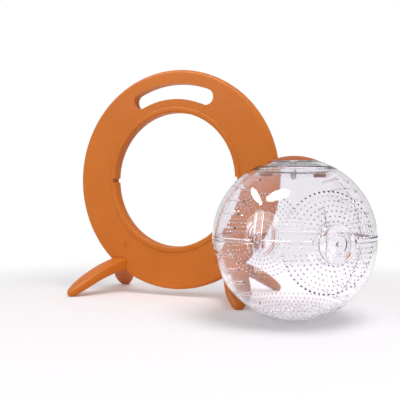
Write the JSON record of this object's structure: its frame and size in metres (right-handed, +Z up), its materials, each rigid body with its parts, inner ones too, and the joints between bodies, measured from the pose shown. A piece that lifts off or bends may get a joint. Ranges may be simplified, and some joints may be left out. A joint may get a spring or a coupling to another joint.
{
  "type": "hamster ball",
  "caption": "Clear hamster ball in two halves with vented sides, a round top door locked by a turn knob, and an orange ring stand on splayed feet.",
  "frame": {"origin": "middle of the whole set's footprint, on the floor", "axes": "+Z up; the ring's faces look along -Y (front) and +Y (rear); +X is to the right from the front, where the ball stands"},
  "size_m": [0.294, 0.1802, 0.2058],
  "materials": {
    "orange_plastic": "satin moulded orange plastic, lightly worn",
    "clear_plastic": "clear moulded polystyrene, faint cool tint",
    "steel": "zinc plated steel"
  },
  "bodies": {
    "stand": {"ring_front": "orange_plastic", "ring_rear": "orange_plastic", "foot_left": "orange_plastic", "foot_right": "orange_plastic", "ring_screw_1": "steel", "ring_screw_2": "steel", "ring_screw_3": "steel", "ring_screw_4": "steel", "ring_screw_5": "steel", "ring_screw_6": "steel"},
    "hub_caps": {"hub_cap_near": "clear_plastic", "hub_cap_far": "clear_plastic"},
    "lower_half": {"lower_shell": "clear_plastic"},
    "upper_half": {"upper_shell": "clear_plastic"},
    "clip_front": {"seam_clip_front": "clear_plastic"},
    "clip_rear": {"seam_clip_rear": "clear_plastic"},
    "door": {"door_lid": "clear_plastic"},
    "knob": {"door_knob": "orange_plastic", "knob_bar": "orange_plastic", "bar_screw": "steel"}
  },
  "joints": [
    {"name": "ball_roll", "type": "slide", "parent": "stand", "child": "hub_caps", "axis": [0.7071, 0.7071, 0], "range_m": [-0.1885, 0.1885]},
    {"name": "ball_spin", "type": "hinge", "parent": "hub_caps", "child": "lower_half", "pos_m": [0.08717, -0.0303, 0.05952], "axis": [0.7071, -0.7071, 0], "continuous": true},
    {"name": "upper_half_lift", "type": "slide", "parent": "lower_half", "child": "upper_half", "axis": [0, 0, 1], "range_m": [0, 0.045]},
    {"name": "clip_front_press", "type": "hinge", "parent": "lower_half", "child": "clip_front", "pos_m": [0.0801, -0.08398, 0.04035], "axis": [-0.9914, 0.1305, 0], "range_deg": [0, 6], "stiffness_Nm_per_rad": 0.3},
    {"name": "clip_rear_press", "type": "hinge", "parent": "lower_half", "child": "clip_rear", "pos_m": [0.09424, 0.02337, 0.04035], "axis": [0.9914, -0.1305, 0], "range_deg": [0, 6], "stiffness_Nm_per_rad": 0.3},
    {"name": "door_lift", "type": "slide", "parent": "upper_half", "child": "door", "axis": [0, 0, 1], "range_m": [0, 0.02]},
    {"name": "knob_turn", "type": "hinge", "parent": "door", "child": "knob", "pos_m": [0.08717, -0.0303, 0.12], "axis": [0, 0, 1], "range_deg": [0, 90]}
  ]
}
